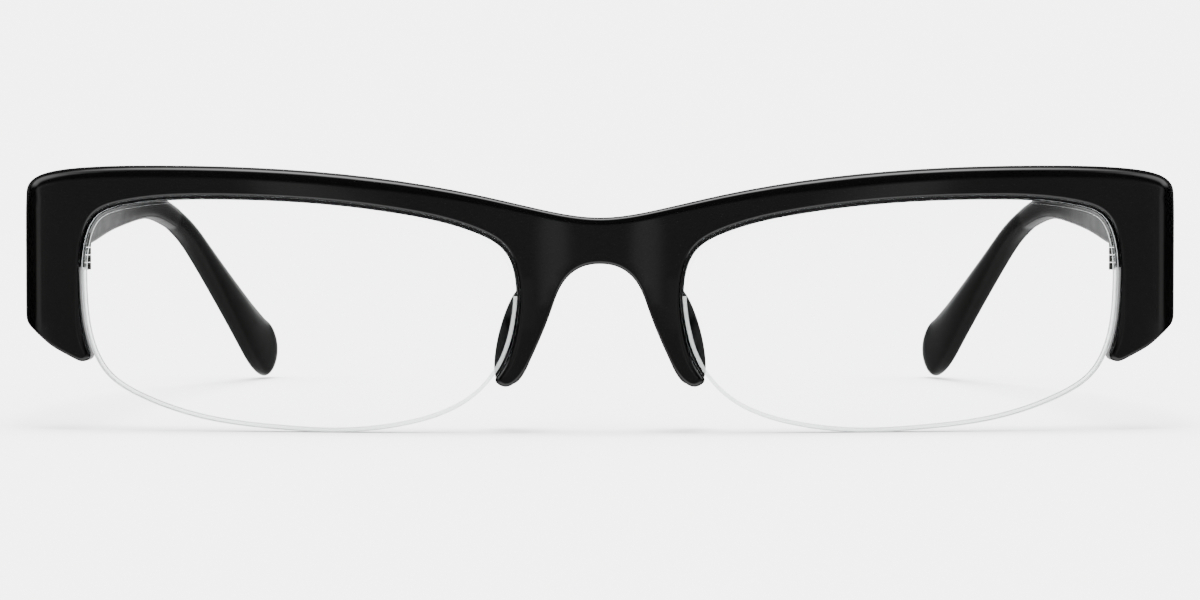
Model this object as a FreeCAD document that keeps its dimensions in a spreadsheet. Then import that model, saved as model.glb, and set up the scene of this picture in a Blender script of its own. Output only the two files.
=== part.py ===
"""Half rim eyeglasses: acetate brow front, nylon cord lens mounts, folding temples.

Frame of the part, in millimetres: +Z up, the wearer looks along -Y, the wearer's
left is +X. The origin is under the middle of the open glasses, on the table that
the lenses and the temple tips stand on. Everything is drawn with the front of the
bridge at y = 0, and each finished piece then takes the same step back along Y.
The left half is drawn, and the right half is its mirror image.
"""
import FreeCAD, Part
import math
import os
from FreeCAD import Placement, Rotation, Vector

os.makedirs("parts", exist_ok=True)
doc = FreeCAD.newDocument("half_rim_eyeglasses")

# ---------------------------------------------------------------- driving sizes
SIZES = (
    ("lens_width", 52.8, "boxed width of one lens"),
    ("lens_height", 28.0, "boxed height of one lens"),
    ("lens_gap", 19.8, "distance between the two lenses"),
    ("lens_thickness", 2.0, "thickness of the plano lens"),
    ("lens_inset", 0.8, "front of the rim to the front of the lens"),
    ("base_radius", 198.0, "radius of the front's curve"),
    ("edge_gap", 0.3, "clearance between the lens edge and the rim"),
    ("groove_width", 0.6, "width of the groove in the lens edge"),
    ("groove_depth", 0.5, "depth of the groove in the lens edge"),
    ("groove_relief", 0.05, "clearance of liner and cord in that groove"),
    ("liner_seat", 0.7, "depth of the liner's slot in the rim"),
    ("liner_grip", 0.15, "how far the liner reaches into the lens's groove"),
    ("liner_outer_end", 20.0, "table to the liner's end beside the wing"),
    ("liner_nose_end", 16.0, "table to the liner's end beside the nose"),
    ("front_thickness", 3.9, "thickness of the acetate front"),
    ("wing_width", 7.35, "lens edge to the side of the front"),
    ("brow_top", 32.0, "table to the highest point of the brow"),
    ("bridge_top", 25.7, "table to the top of the bridge"),
    ("bridge_arch", 20.2, "table to the arch under the bridge"),
    ("nose_tip", 5.5, "table to the lowest point beside the nose"),
    ("wing_side_foot", 13.2, "table to the foot of the wing's side"),
    ("wing_tip", 7.95, "table to the wing's inner tip"),
    ("wing_side_round", 2.0, "rounding at the foot of the wing's side"),
    ("wing_tip_round", 1.3, "rounding of the wing's inner tip"),
    ("wing_tip_inset", 0.4, "lens edge to the corner of the wing's inner tip"),
    ("side_radius", 3.0, "upright corner between the front and its side"),
    ("bridge_radius", 29.5, "plan radius of the bridge's bulge"),
    ("bridge_bulge", 5.4, "middle of the bridge to the end of the bulge"),
    ("side_length", 1.714, "upright corner to the joint with the temple"),
    ("pad_rise", 6.1, "nose tip to the middle of a nose pad"),
    ("pad_inset", 0.9, "lens edge to the middle of a nose pad, towards the nose"),
    ("pad_height", 12.6, "length of a nose pad"),
    ("pad_thickness", 3.4, "thickness of a nose pad"),
    ("pad_depth", 7.4, "how far a nose pad stands behind the front"),
    ("pad_splay", 2.4, "sideways step of a nose pad from front to back"),
    ("barrel_radius", 1.5, "radius of the hinge barrel"),
    ("barrel_relief", 0.3, "clearance round the hinge barrel"),
    ("hinge_height", 4.6, "height of the five knuckles together"),
    ("hinge_foot", 19.3, "table to the foot of the barrel"),
    ("hinge_inset", 6.15, "side of the front to the hinge's axis"),
    ("hinge_setback", 0.2, "joint to the hinge's axis"),
    ("knuckle_gap", 0.06, "clearance between two knuckles"),
    ("leaf_thickness", 0.9, "thickness of a hinge leaf"),
    ("front_leaf_length", 3.6, "length of the hinge leaf in the front"),
    ("temple_leaf_length", 9.0, "length of the hinge leaf in the temple"),
    ("screw_radius", 0.7, "radius of the hinge screw's shank"),
    ("screw_relief", 0.05, "running clearance round the screw"),
    ("screw_head_radius", 1.15, "radius of the screw's head"),
    ("screw_head_height", 0.6, "height of the screw's head"),
    ("slot_width", 0.35, "width of the screwdriver's slot"),
    ("temple_reach", 133.0, "joint to the rearmost point of the temple"),
    ("temple_turn", 86.0, "joint to the start of the bend over the ear"),
    ("temple_top", 30.3, "table to the temple's top edge at the joint"),
    ("temple_thickness", 4.0, "thickness of the temple at the joint"),
    ("temple_tail", 3.2, "thickness of the temple past the bend"),
    ("temple_sweep", 14.9, "inward curve of the temple at its end"),
    ("temple_gap", 0.1, "clearance between the temple's end and the wing"),
    ("core_height", 2.2, "height of the metal core in the temple"),
    ("core_thickness", 1.0, "thickness of the metal core in the temple"),
)
sheet = doc.addObject("Spreadsheet::Sheet", "sizes")


def set_row(row, alias, value, meaning):
    """One named value of the sheet."""
    sheet.set(f"A{row}", meaning)
    sheet.set(f"B{row}", str(value))
    sheet.setAlias(f"B{row}", alias)


for number, entry in enumerate(SIZES, start=1):
    set_row(number, *entry)
doc.recompute()


def size(alias):
    """Value of one driving size."""
    return float(sheet.get(alias))


# ------------------------------------------------- places worked out from the sizes
nose_side = size("lens_gap") / 2
half_width = nose_side + size("lens_width") + size("wing_width")
lens_edge = nose_side + size("lens_width")
# In plan the front face bulges at the bridge, turns back beside the nose and then
# follows one long arc to the corner with its side.
bulge_radius = size("bridge_radius")
bulge_angle = math.asin(size("bridge_bulge") / bulge_radius)
bulge_centre = (0.0, bulge_radius)
hollow_x = 2 * size("bridge_bulge")
hollow_y = 2 * bulge_radius * (1 - math.cos(bulge_angle))
hollow_centre = (hollow_x, hollow_y - bulge_radius)
base_radius = size("base_radius")
base_centre = (hollow_x, hollow_y + base_radius)
side_centre_x = half_width - size("side_radius")
side_angle = math.asin((side_centre_x - hollow_x) / (base_radius - size("side_radius")))
side_reach = (base_radius - size("side_radius")) * math.cos(side_angle)
side_centre = (side_centre_x, base_centre[1] - side_reach)
joint = side_centre[1] + size("side_length")
set_row(len(SIZES) + 1, "joint_depth", joint, "front of the bridge to the joint")
doc.recompute()
hinge_x = half_width - size("hinge_inset")
block_x = hinge_x + size("barrel_radius") + size("barrel_relief")
STEP_BACK = "-(sizes.joint_depth + sizes.temple_reach) / 2 * 1 mm"
# How far a tool or a construction line runs past what it works on.
MARGIN = 5.0

# Upright sketch plane, x across and z up.
ACROSS = Placement(Vector(), Rotation(Vector(1, 0, 0), 90))


# ---------------------------------------------------------------- drawing helpers
def spline(points, closed=False):
    """Smooth curve through flat points."""
    curve = Part.BSplineCurve()
    curve.interpolate(Points=[Vector(x, y, 0) for x, y in points], PeriodicFlag=closed)
    return curve


def half_spline(points):
    """The left half of a smooth curve that is symmetric about its first point."""
    curve = spline([(-x, y) for x, y in reversed(points)] + points[1:])
    curve.segment(curve.parameter(Vector(*points[0], 0)), curve.LastParameter)
    return curve


def line(start, end):
    return Part.LineSegment(Vector(*start, 0), Vector(*end, 0))


def arc(centre, radius, start, end):
    """Arc about a centre, its angles in radians from straight ahead (-Y)."""
    points = []
    for angle in (start, (start + end) / 2, end):
        points.append(Vector(centre[0] + radius * math.sin(angle),
                             centre[1] - radius * math.cos(angle), 0))
    return Part.Arc(*points)


def rounded(corners):
    """Straight runs through corners given as x, y, radius, with tangent arcs."""
    curves = []
    start = Vector(corners[0][0], corners[0][1], 0)
    for before, corner, after in zip(corners, corners[1:], corners[2:]):
        point = Vector(corner[0], corner[1], 0)
        back = (Vector(before[0], before[1], 0) - point).normalize()
        ahead = (Vector(after[0], after[1], 0) - point).normalize()
        half_turn = back.getAngle(ahead) / 2
        reach = corner[2] / math.tan(half_turn)
        middle = (back + ahead).normalize() * (corner[2] / math.sin(half_turn))
        inner = point + middle - Vector(middle).normalize() * corner[2]
        curves.append(Part.LineSegment(start, point + back * reach))
        curves.append(Part.Arc(point + back * reach, inner, point + ahead * reach))
        start = point + ahead * reach
    curves.append(Part.LineSegment(start, Vector(corners[-1][0], corners[-1][1], 0)))
    return curves


def sketch(name, curves, placement=None):
    """A free sketch in the document."""
    drawn = doc.addObject("Sketcher::SketchObject", name)
    drawn.addGeometry(curves, False)
    if placement:
        drawn.Placement = placement
    return drawn


def body_sketch(body, name, role, curves):
    """A sketch on one of its body's own origin planes."""
    drawn = body.newObject("Sketcher::SketchObject", name)
    plane = next(item for item in body.Origin.OriginFeatures if item.Role == role)
    drawn.AttachmentSupport = (plane, [""])
    drawn.MapMode = "FlatFace"
    drawn.addGeometry(curves, False)
    return drawn


def extrusion(name, base, direction, length):
    """A sketch made solid along one axis, its lengths bound to the sheet."""
    solid = doc.addObject("Part::Extrusion", name)
    solid.Base = base
    solid.DirMode = "Custom"
    solid.Dir = direction
    solid.Solid = True
    solid.setExpression("LengthFwd", length)
    return solid


def primitive(kind, name, **bound):
    """A Part primitive whose properties are bound to the sheet."""
    solid = doc.addObject(f"Part::{kind}", name)
    for key, expression in bound.items():
        path = {"x": "Placement.Base.x", "y": "Placement.Base.y",
                "z": "Placement.Base.z"}.get(key, key)
        solid.setExpression(path, expression)
    return solid


def cut(name, base, tool):
    result = doc.addObject("Part::Cut", name)
    result.Base = base
    result.Tool = tool
    return result


def common(name, base, tool):
    result = doc.addObject("Part::Common", name)
    result.Base = base
    result.Tool = tool
    return result


def joined(name, shapes):
    result = doc.addObject("Part::MultiFuse", name)
    result.Shapes = shapes
    return result


nodes = []


def node(name, solid):
    """Names a finished piece, puts it in its place and lists it for export."""
    solid.Label = name
    solid.setExpression("Placement.Base.y", STEP_BACK)
    nodes.append(solid)
    return solid


def pair(name, solid):
    """The left piece as drawn and the right one as its mirror image."""
    twin = doc.addObject("Part::Mirroring", f"{name}_twin")
    twin.Source = solid
    twin.Normal = Vector(1, 0, 0)
    node(f"{name}_left", solid)
    twin.Label = f"{name}_right"
    nodes.append(twin)
    return solid


# ---------------------------------------------------------------- lens outline
# Points round the lens in its box, as shares of its width and height: from the
# bottom, up the outer side, over the top and down the nose side.
LENS_TRACE = (
    (0.494, 0.0055), (0.693, 0.045), (0.858, 0.140), (0.943, 0.243), (0.984, 0.390),
    (1.000, 0.622), (0.995, 0.807), (0.966, 0.925), (0.902, 0.973), (0.684, 1.000),
    (0.456, 0.982), (0.258, 0.936), (0.093, 0.857), (0.025, 0.775), (0.002, 0.664),
    (0.004, 0.486), (0.032, 0.307), (0.097, 0.154), (0.248, 0.034),
)
TRACE_STEPS = 4 * len(LENS_TRACE)


def lens_outline(offset=0.0):
    """The lens outline, or one that runs outside it by the offset."""
    trace = spline([(nose_side + size("lens_width") * across, size("lens_height") * up)
                    for across, up in LENS_TRACE], closed=True)
    if offset == 0:
        return trace
    ring = []
    for step in range(TRACE_STEPS):
        place = trace.LastParameter * step / TRACE_STEPS
        ahead = trace.tangent(place)[0]
        point = trace.value(place) + Vector(ahead.y, -ahead.x, 0) * offset
        ring.append((point.x, point.y))
    return spline(ring, closed=True)


# ---------------------------------------------------------------- plan of the front
# The same centres serve every layer of the front.
def base_depth(x, inset):
    """Depth at x of the layer that lies this far behind the front face."""
    return base_centre[1] - math.sqrt((base_radius - inset) ** 2 - (x - hollow_x) ** 2)


def layer(inset, end_x):
    """Arcs of one layer, from the middle of the bridge to end_x."""
    end_angle = math.asin((end_x - hollow_x) / (base_radius - inset))
    return [
        arc(bulge_centre, bulge_radius - inset, 0, bulge_angle),
        arc(hollow_centre, bulge_radius + inset, math.pi + bulge_angle, math.pi),
        arc(base_centre, base_radius - inset, 0, end_angle),
    ]


def front_plan():
    """Closed plan of the front's left half: its face, side, joint face and back."""
    thickness = size("front_thickness")
    radius = size("side_radius")
    face_end = side_centre[0] + radius * math.sin(side_angle)
    back_y = base_depth(block_x, thickness)
    return layer(0, face_end) + [
        arc(side_centre, radius, side_angle, math.pi / 2),
        line((half_width, side_centre[1]), (half_width, joint)),
        line((half_width, joint), (block_x, joint)),
        line((block_x, joint), (block_x, back_y)),
        line((0, 0), (0, thickness)),
    ] + layer(thickness, block_x)


# ---------------------------------------------------------------- outline of the front
# The brow, as shares of the half width and of the rise from bridge to brow.
BROW = ((0.0, 0.0), (0.10, 0.155), (0.20, 0.41), (0.355, 0.715), (0.515, 0.90),
        (0.77, 1.0), (0.90, 0.965), (0.955, 0.885), (0.986, 0.745), (0.999, 0.56))
BROW_CORNER_DROP = 3.2
# The nose side, as shares of the distance from the middle to the lens and of the
# height from the arch down to the tip.
NOSE = ((0.0, 0.0), (0.235, 0.03), (0.415, 0.126), (0.596, 0.395), (0.83, 0.772),
        (0.97, 0.93), (1.14, 1.0), (1.25, 0.965), (1.36, 0.82))
# The belly of the wing's lower edge: shares of the way from the side's foot to the
# inner tip, inwards and down, and its radius.
WING_BELLY = (0.445, 0.585, 8.0)


def front_outline():
    """Closed outline of the front's left half, its lens opening still to be cut."""
    rise = size("brow_top") - size("bridge_top")
    brow = [(half_width * across, size("bridge_top") + rise * up) for across, up in BROW]
    brow.append((half_width, size("brow_top") - BROW_CORNER_DROP))
    fall = size("bridge_arch") - size("nose_tip")
    nose = [(nose_side * across, size("bridge_arch") - fall * down) for across, down in NOSE]
    foot = size("wing_side_foot")
    tip = (lens_edge - size("wing_tip_inset"), size("wing_tip"))
    across, down, radius = WING_BELLY
    inside_wing = (lens_edge - MARGIN, size("wing_tip") + MARGIN)
    wing = rounded((
        (*brow[-1], 0),
        (half_width, foot, size("wing_side_round")),
        (half_width + (tip[0] - half_width) * across, foot + (tip[1] - foot) * down, radius),
        (*tip, size("wing_tip_round")),
        (*inside_wing, 0),
    ))
    return wing + [
        half_spline(brow),
        line(inside_wing, nose[-1]),
        half_spline(nose),
        line(nose[0], brow[0]),
    ]


def frame(*corners):
    """Closed straight-sided outline."""
    return [line(start, end) for start, end in zip(corners, corners[1:] + corners[:1])]


# ---------------------------------------------------------------- lenses
def shell(name, inset, thickness):
    """Spherical layer behind the front's curve, as two balls of one centre."""
    balls = []
    for side, depth in (("front", inset), ("back", f"({inset} + {thickness})")):
        ball = primitive("Sphere", f"{name}_{side}",
                         Radius=f"(sizes.base_radius - {depth}) * 1 mm",
                         z="sizes.lens_height / 2 * 1 mm")
        ball.Placement.Base.x = base_centre[0]
        ball.Placement.Base.y = base_centre[1]
        balls.append(ball)
    return balls


def edge_ring(name, outer, inner, inset, thickness):
    """Ring that follows the lens edge between two offsets, inside one layer."""
    walls = []
    for side, offset in (("outer", outer), ("inner", inner)):
        trace = sketch(f"{name}_{side}_trace", [lens_outline(offset)], ACROSS)
        walls.append(extrusion(f"{name}_{side}", trace, Vector(0, 1, 0),
                               "sizes.joint_depth * 1 mm"))
    ball_front, ball_back = shell(name, inset, thickness)
    band = cut(f"{name}_band", walls[0], walls[1])
    capped = common(f"{name}_capped", band, ball_front)
    return cut(f"{name}_ring", capped, ball_back)


MID_GROOVE = "(sizes.lens_inset + (sizes.lens_thickness - sizes.groove_width) / 2)"
MID_LINER = f"({MID_GROOVE} + sizes.groove_relief)"
LINER_WIDTH = "(sizes.groove_width - 2 * sizes.groove_relief)"
lens_trace = sketch("lens_trace", [lens_outline()], ACROSS)
lens_block = extrusion("lens_block", lens_trace, Vector(0, 1, 0), "sizes.joint_depth * 1 mm")
lens_front, lens_back = shell("lens_face", "sizes.lens_inset", "sizes.lens_thickness")
lens_capped = common("lens_capped", lens_block, lens_front)
lens_blank = cut("lens_blank", lens_capped, lens_back)
groove = edge_ring("groove", MARGIN, -size("groove_depth"), MID_GROOVE, "sizes.groove_width")
pair("lens", cut("lens", lens_blank, groove))

# ---------------------------------------------------------------- liner and cord
# One strip round the lens: a liner over the top, a nylon cord under the bottom.
liner_ring = edge_ring("liner", size("edge_gap") + size("liner_seat"), -size("liner_grip"),
                       MID_LINER, LINER_WIDTH)
cord_ring = edge_ring("cord", 0.0, size("groove_relief") - size("groove_depth"),
                      MID_LINER, LINER_WIDTH)
upper_zone_outline = frame(
    (nose_side - MARGIN, size("liner_nose_end")), (lens_edge + MARGIN, size("liner_outer_end")),
    (lens_edge + MARGIN, size("brow_top")), (nose_side - MARGIN, size("brow_top")))
upper_zone = extrusion("upper_zone", sketch("upper_zone_trace", upper_zone_outline, ACROSS),
                       Vector(0, 1, 0), "sizes.joint_depth * 1 mm")
pair("lens_liner", common("lens_liner", liner_ring, upper_zone))
pair("nylon_cord", cut("nylon_cord", cord_ring, upper_zone))

# ---------------------------------------------------------------- hinge
KNUCKLES = 5
PITCH = f"(sizes.hinge_height / {KNUCKLES})"
AXIS_X = "(sizes.lens_gap / 2 + sizes.lens_width + sizes.wing_width - sizes.hinge_inset)"
AXIS_Y = "(sizes.joint_depth + sizes.hinge_setback)"


def bore(name, radius, first_level, levels):
    """Round bore on the hinge's axis through the given knuckle levels."""
    return primitive("Cylinder", name, Radius=f"({radius}) * 1 mm",
                     Height=f"{PITCH} * {levels} * 1 mm", x=f"{AXIS_X} * 1 mm",
                     y=f"{AXIS_Y} * 1 mm",
                     z=f"(sizes.hinge_foot + {PITCH} * {first_level}) * 1 mm")


# How far an arm reaches into its plate, how many reliefs the front leaf's plate stands
# off the barrel, and how much of the head's radius the slot runs past on each side.
ARM_OVERLAP = 0.1
PLATE_STEP = 3
SLOT_RUN = 1.5


def leaf(name, levels, arm_start, arm_length, plate_x, plate_start, plate_length):
    """Hinge leaf: its knuckles, an arm from each one, and the plate in the acetate."""
    pieces = []
    height = f"({PITCH} - sizes.knuckle_gap) * 1 mm"
    for level in levels:
        foot = f"(sizes.hinge_foot + {PITCH} * {level} + sizes.knuckle_gap / 2) * 1 mm"
        pieces.append(primitive("Cylinder", f"{name}_knuckle_{level}",
                                Radius="sizes.barrel_radius * 1 mm", Height=height,
                                x=f"{AXIS_X} * 1 mm", y=f"{AXIS_Y} * 1 mm", z=foot))
        pieces.append(primitive("Box", f"{name}_arm_{level}",
                                Length=f"({plate_x} - {AXIS_X} + {ARM_OVERLAP}) * 1 mm",
                                Width=f"({arm_length}) * 1 mm", Height=height,
                                x=f"{AXIS_X} * 1 mm", y=f"({arm_start}) * 1 mm", z=foot))
    pieces.append(primitive("Box", f"{name}_plate",
                            Length="sizes.leaf_thickness * 1 mm",
                            Width=f"({plate_length}) * 1 mm",
                            Height="sizes.hinge_height * 1 mm",
                            x=f"({plate_x}) * 1 mm", y=f"({plate_start}) * 1 mm",
                            z="sizes.hinge_foot * 1 mm"))
    return joined(f"{name}_blank", pieces)


front_leaf_blank = leaf(
    "front_leaf", (0, 2, 4),
    f"{AXIS_Y} - sizes.barrel_radius", "sizes.barrel_radius - sizes.hinge_setback",
    f"{AXIS_X} + sizes.barrel_radius + {PLATE_STEP} * sizes.barrel_relief",
    "sizes.joint_depth - sizes.front_leaf_length", "sizes.front_leaf_length")
temple_leaf_blank = leaf(
    "temple_leaf", (1, 3),
    "sizes.joint_depth + sizes.temple_gap",
    "sizes.barrel_radius + sizes.hinge_setback - sizes.temple_gap",
    f"{AXIS_X} + sizes.hinge_inset - sizes.temple_thickness",
    "sizes.joint_depth + sizes.temple_gap", "sizes.temple_leaf_length")
threaded = bore("threaded_bore", "sizes.screw_radius", 0, 1)
clear = bore("clear_bore", "sizes.screw_radius + sizes.screw_relief", 1, KNUCKLES - 1)
bores = joined("front_leaf_bores", [threaded, clear])
pair("hinge_front", cut("hinge_front", front_leaf_blank, bores))
temple_bore = bore("temple_bore", "sizes.screw_radius + sizes.screw_relief", 0, KNUCKLES)
pair("hinge_temple", cut("hinge_temple", temple_leaf_blank, temple_bore))

shank = bore("screw_shank", "sizes.screw_radius", 0, KNUCKLES)
head = primitive("Cylinder", "screw_head", Radius="sizes.screw_head_radius * 1 mm",
                 Height="sizes.screw_head_height * 1 mm", x=f"{AXIS_X} * 1 mm",
                 y=f"{AXIS_Y} * 1 mm", z="(sizes.hinge_foot + sizes.hinge_height) * 1 mm")
slot = primitive("Box", "screw_slot",
                 Length=f"{2 * SLOT_RUN} * sizes.screw_head_radius * 1 mm",
                 Width="sizes.slot_width * 1 mm", Height="sizes.screw_head_height * 1 mm",
                 x=f"({AXIS_X} - {SLOT_RUN} * sizes.screw_head_radius) * 1 mm",
                 y=f"({AXIS_Y} - sizes.slot_width / 2) * 1 mm",
                 z="(sizes.hinge_foot + sizes.hinge_height + sizes.screw_head_height / 2) * 1 mm")
pair("hinge_screw", cut("hinge_screw", joined("screw_blank", [shank, head]), slot))

# ---------------------------------------------------------------- acetate front
body = doc.addObject("PartDesign::Body", "front_body")
slab = body.newObject("PartDesign::Pad", "front_slab")
slab.Profile = body_sketch(body, "front_plan", "XY_Plane", front_plan())
slab.setExpression("Length", "(sizes.brow_top + sizes.front_thickness) * 1 mm")
above = size("brow_top") + 2 * MARGIN
around = frame((-MARGIN, -MARGIN), (half_width + MARGIN, -MARGIN),
               (half_width + MARGIN, above), (-MARGIN, above))
for name, curves in (("front_outline", front_outline() + around),
                     ("lens_opening", [lens_outline(size("edge_gap"))])):
    pocket = body.newObject("PartDesign::Pocket", name)
    pocket.Profile = body_sketch(body, f"{name}_trace", "XZ_Plane", curves)
    pocket.Type = "ThroughAll"
    pocket.SideType = "Symmetric"
half_twin = doc.addObject("Part::Mirroring", "half_front_twin")
half_twin.Source = body
half_twin.Normal = Vector(1, 0, 0)
whole_front = joined("whole_front", [body, half_twin])
whole_front.Refine = True


def unplaced(name, shapes):
    """The pieces and their mirror images as drawn, joined into one cutting tool."""
    tools = []
    for number, solid in enumerate(shapes):
        mirror = doc.addObject("Part::Mirroring", f"{name}_mirror_{number}")
        mirror.Source = solid
        mirror.Normal = Vector(1, 0, 0)
        tools += [solid, mirror]
    return joined(name, tools)


# The liner's slot is its own object, because the liner itself steps back.
liner_slot = common("liner_slot", liner_ring, upper_zone)
# The barrel stays clear of a front of any thickness.
barrel_seat = bore("barrel_seat", "sizes.barrel_radius + sizes.barrel_relief / 2", 0, KNUCKLES)
seats = unplaced("front_seats", [liner_slot, front_leaf_blank, barrel_seat])
node("frame_front", cut("frame_front", whole_front, seats))

# ---------------------------------------------------------------- nose pads
# A pad is lofted through ellipses that step back and sideways from the frame's
# back, as shares of its depth, splay, height and thickness.
PAD_SECTIONS = ((0.0, 0.0, 0.94, 0.90), (0.35, 0.33, 1.0, 1.0), (0.70, 0.72, 0.90, 0.86),
                (0.90, 0.93, 0.70, 0.62), (1.0, 1.0, 0.45, 0.30))
PAD_TILT = 14.5
PAD_SINK = 0.3
sections = []
for number, (back, aside, tall, thick) in enumerate(PAD_SECTIONS):
    section = primitive(
        "Ellipse", f"pad_section_{number}",
        MajorRadius=f"sizes.pad_height / 2 * {tall} * 1 mm",
        MinorRadius=f"sizes.pad_thickness / 2 * {thick} * 1 mm",
        x=f"(sizes.lens_gap / 2 - sizes.pad_inset + sizes.pad_splay * {aside}) * 1 mm",
        y=f"(sizes.front_thickness + {hollow_y - PAD_SINK} + sizes.pad_depth * {back}) * 1 mm",
        z="(sizes.nose_tip + sizes.pad_rise) * 1 mm")
    section.Placement.Rotation = (Rotation(Vector(0, 1, 0), -PAD_TILT)
                                  * Rotation(Vector(1, 1, 1), -120))
    sections.append(section)
pad_blank = doc.addObject("Part::Loft", "pad_blank")
pad_blank.Sections = sections
pad_blank.Solid = True
pair("nose_pad", cut("nose_pad", pad_blank, whole_front))

# ---------------------------------------------------------------- temples
# Sections of the temple: how far along it stands (0 at the joint, 1 at the bend over
# the ear, 2 at the end), then the height of its middle and half its own height, both
# as shares of the top edge's height at the joint.
TEMPLE_SECTIONS = (
    (0.0, 0.728, 0.272), (0.045, 0.777, 0.223), (0.10, 0.820, 0.177), (0.17, 0.848, 0.149),
    (0.30, 0.857, 0.134), (0.50, 0.880, 0.106), (0.70, 0.901, 0.077), (0.86, 0.906, 0.063),
    (1.0, 0.850, 0.056), (1.15, 0.769, 0.061), (1.30, 0.658, 0.075), (1.50, 0.485, 0.105),
    (1.70, 0.307, 0.140), (1.83, 0.203, 0.157), (1.914, 0.160, 0.150),
)
# The rounded end: places short of the end and the share of the last section there,
# and the height of the middle at the end.
TEMPLE_END = ((1.950, 0.91), (1.975, 0.73), (1.990, 0.50), (1.998, 0.25))
END_MIDDLE = 0.148
# Inward curve of the temple's middle, as a share of its sweep at the end.
TEMPLE_PLAN = ((0.0, 0.0), (0.35, 0.0), (0.70, 0.09), (1.0, 0.31), (1.30, 0.505),
               (1.65, 0.76), (2.0, 1.0))
# The sections are superellipses, nearly square at the joint and oval past the bend.
# They stand upright up to the end of the flare, and then square to the middle line.
SQUARE_POWER = 5.0
OVAL_POWER = 2.2
SECTION_POINTS = 24
FLARE_END = 0.30
# The core runs down the middle of the temple, from the joint nearly to the end.
CORE_END = 1.83


def along(share):
    """Depth of a place along the temple, from 1 at the bend to 2 at the end."""
    start = joint + size("temple_gap")
    turn = size("temple_turn")
    tail = size("temple_reach") - size("temple_gap") - turn
    return start + turn * min(share, 1.0) + tail * max(share - 1.0, 0.0)


def value_at(curve, share):
    """The height of a curve over the depth at a place, and its slope there."""
    start = Vector(along(share), 0, 0)
    crossing = curve.intersectCC(Part.Line(start, start + Vector(0, 1, 0)))[0]
    place = curve.parameter(Vector(crossing.X, crossing.Y, 0))
    ahead = curve.tangent(place)[0]
    return crossing.Y, math.atan2(ahead.y, ahead.x)


top_height = size("temple_top")
middle_line = spline([(along(share), top_height * middle)
                      for share, middle, _ in TEMPLE_SECTIONS + ((2.0, END_MIDDLE, 0),)])
sweep_line = spline([(along(share), size("temple_sweep") * inward)
                     for share, inward in TEMPLE_PLAN])


def temple_ring(name, share, half_height, half_thickness, power):
    """Closed superellipse across the temple's middle line."""
    height, slope = value_at(middle_line, share)
    inward, _ = value_at(sweep_line, share)
    points = []
    for step in range(SECTION_POINTS):
        turn = 2 * math.pi * step / SECTION_POINTS
        aside, up = (math.copysign(abs(part) ** (2 / power), part)
                     for part in (math.cos(turn), math.sin(turn)))
        points.append(Vector(half_thickness * aside, half_height * up, 0))
    ring = Part.BSplineCurve()
    ring.interpolate(Points=points, PeriodicFlag=True,
                     Parameters=list(range(SECTION_POINTS + 1)))
    middle = half_width - size("temple_thickness") / 2 - inward
    lean = math.degrees(slope) if share > FLARE_END else 0.0
    return sketch(name, [ring], Placement(Vector(middle, along(share), height),
                                          Rotation(Vector(1, 0, 0), 90 + lean)))


def loft(name, rings):
    """Solid through rings that follow the temple."""
    solid = doc.addObject("Part::Loft", name)
    solid.Sections = rings
    solid.Solid = True
    solid.MaxDegree = 3
    return solid


temple_rings = []
core_rings = []
for number, (share, _, half) in enumerate(TEMPLE_SECTIONS):
    before_bend = min(share, 1.0)
    thinning = (size("temple_thickness") - size("temple_tail")) * before_bend
    power = SQUARE_POWER + (OVAL_POWER - SQUARE_POWER) * before_bend
    temple_rings.append(temple_ring(f"temple_ring_{number}", share, top_height * half,
                                    (size("temple_thickness") - thinning) / 2, power))
    if share <= CORE_END:
        core_rings.append(temple_ring(f"core_ring_{number}", share, size("core_height") / 2,
                                      size("core_thickness") / 2, SQUARE_POWER))
for number, (share, part) in enumerate(TEMPLE_END):
    temple_rings.append(temple_ring(f"end_ring_{number}", share, top_height * half * part,
                                    size("temple_tail") / 2 * math.sqrt(part), OVAL_POWER))
temple_blank = loft("temple_blank", temple_rings)
temple_seats = joined("temple_seats", [temple_leaf_blank, loft("core_seat", core_rings)])
pair("temple", cut("temple", temple_blank, temple_seats))
pair("temple_core", loft("temple_core", core_rings))

# ---------------------------------------------------------------- checks and export
doc.recompute()
for item in doc.Objects:
    if "Invalid" in item.State or "Error" in item.State:
        raise RuntimeError(f"{item.Label} did not build: {item.State}")
for piece in nodes:
    shape = piece.Shape
    if shape.isNull() or not shape.isValid() or len(shape.Solids) != 1:
        raise RuntimeError(f"{piece.Label} is not one sound solid")
    print(f"{piece.Label}: {shape.Volume:.2f} mm3")
for piece in nodes:
    piece.Shape.exportStep(f"parts/{piece.Label}.step")
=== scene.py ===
"""Looks of the half rim eyeglasses: polished black acetate, clear lenses held by nylon
cords, and nickel silver hinges, on a pale studio floor.

All lengths are in metres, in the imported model's frame: +Z up, the glasses look along -Y.
The sizes that repeat the design's own are written in millimetres, times MM.
"""

import math

import bmesh
import bpy
import numpy as np
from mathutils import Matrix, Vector
from mathutils.geometry import delaunay_2d_cdt


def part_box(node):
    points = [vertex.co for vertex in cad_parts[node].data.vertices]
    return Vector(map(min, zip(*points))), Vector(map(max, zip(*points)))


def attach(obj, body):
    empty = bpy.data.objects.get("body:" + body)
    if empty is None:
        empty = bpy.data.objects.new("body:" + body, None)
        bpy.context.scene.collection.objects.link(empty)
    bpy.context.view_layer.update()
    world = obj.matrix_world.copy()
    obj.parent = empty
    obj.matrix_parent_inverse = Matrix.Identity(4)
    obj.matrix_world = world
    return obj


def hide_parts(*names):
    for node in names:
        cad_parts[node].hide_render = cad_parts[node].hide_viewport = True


MM = 0.001

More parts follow.
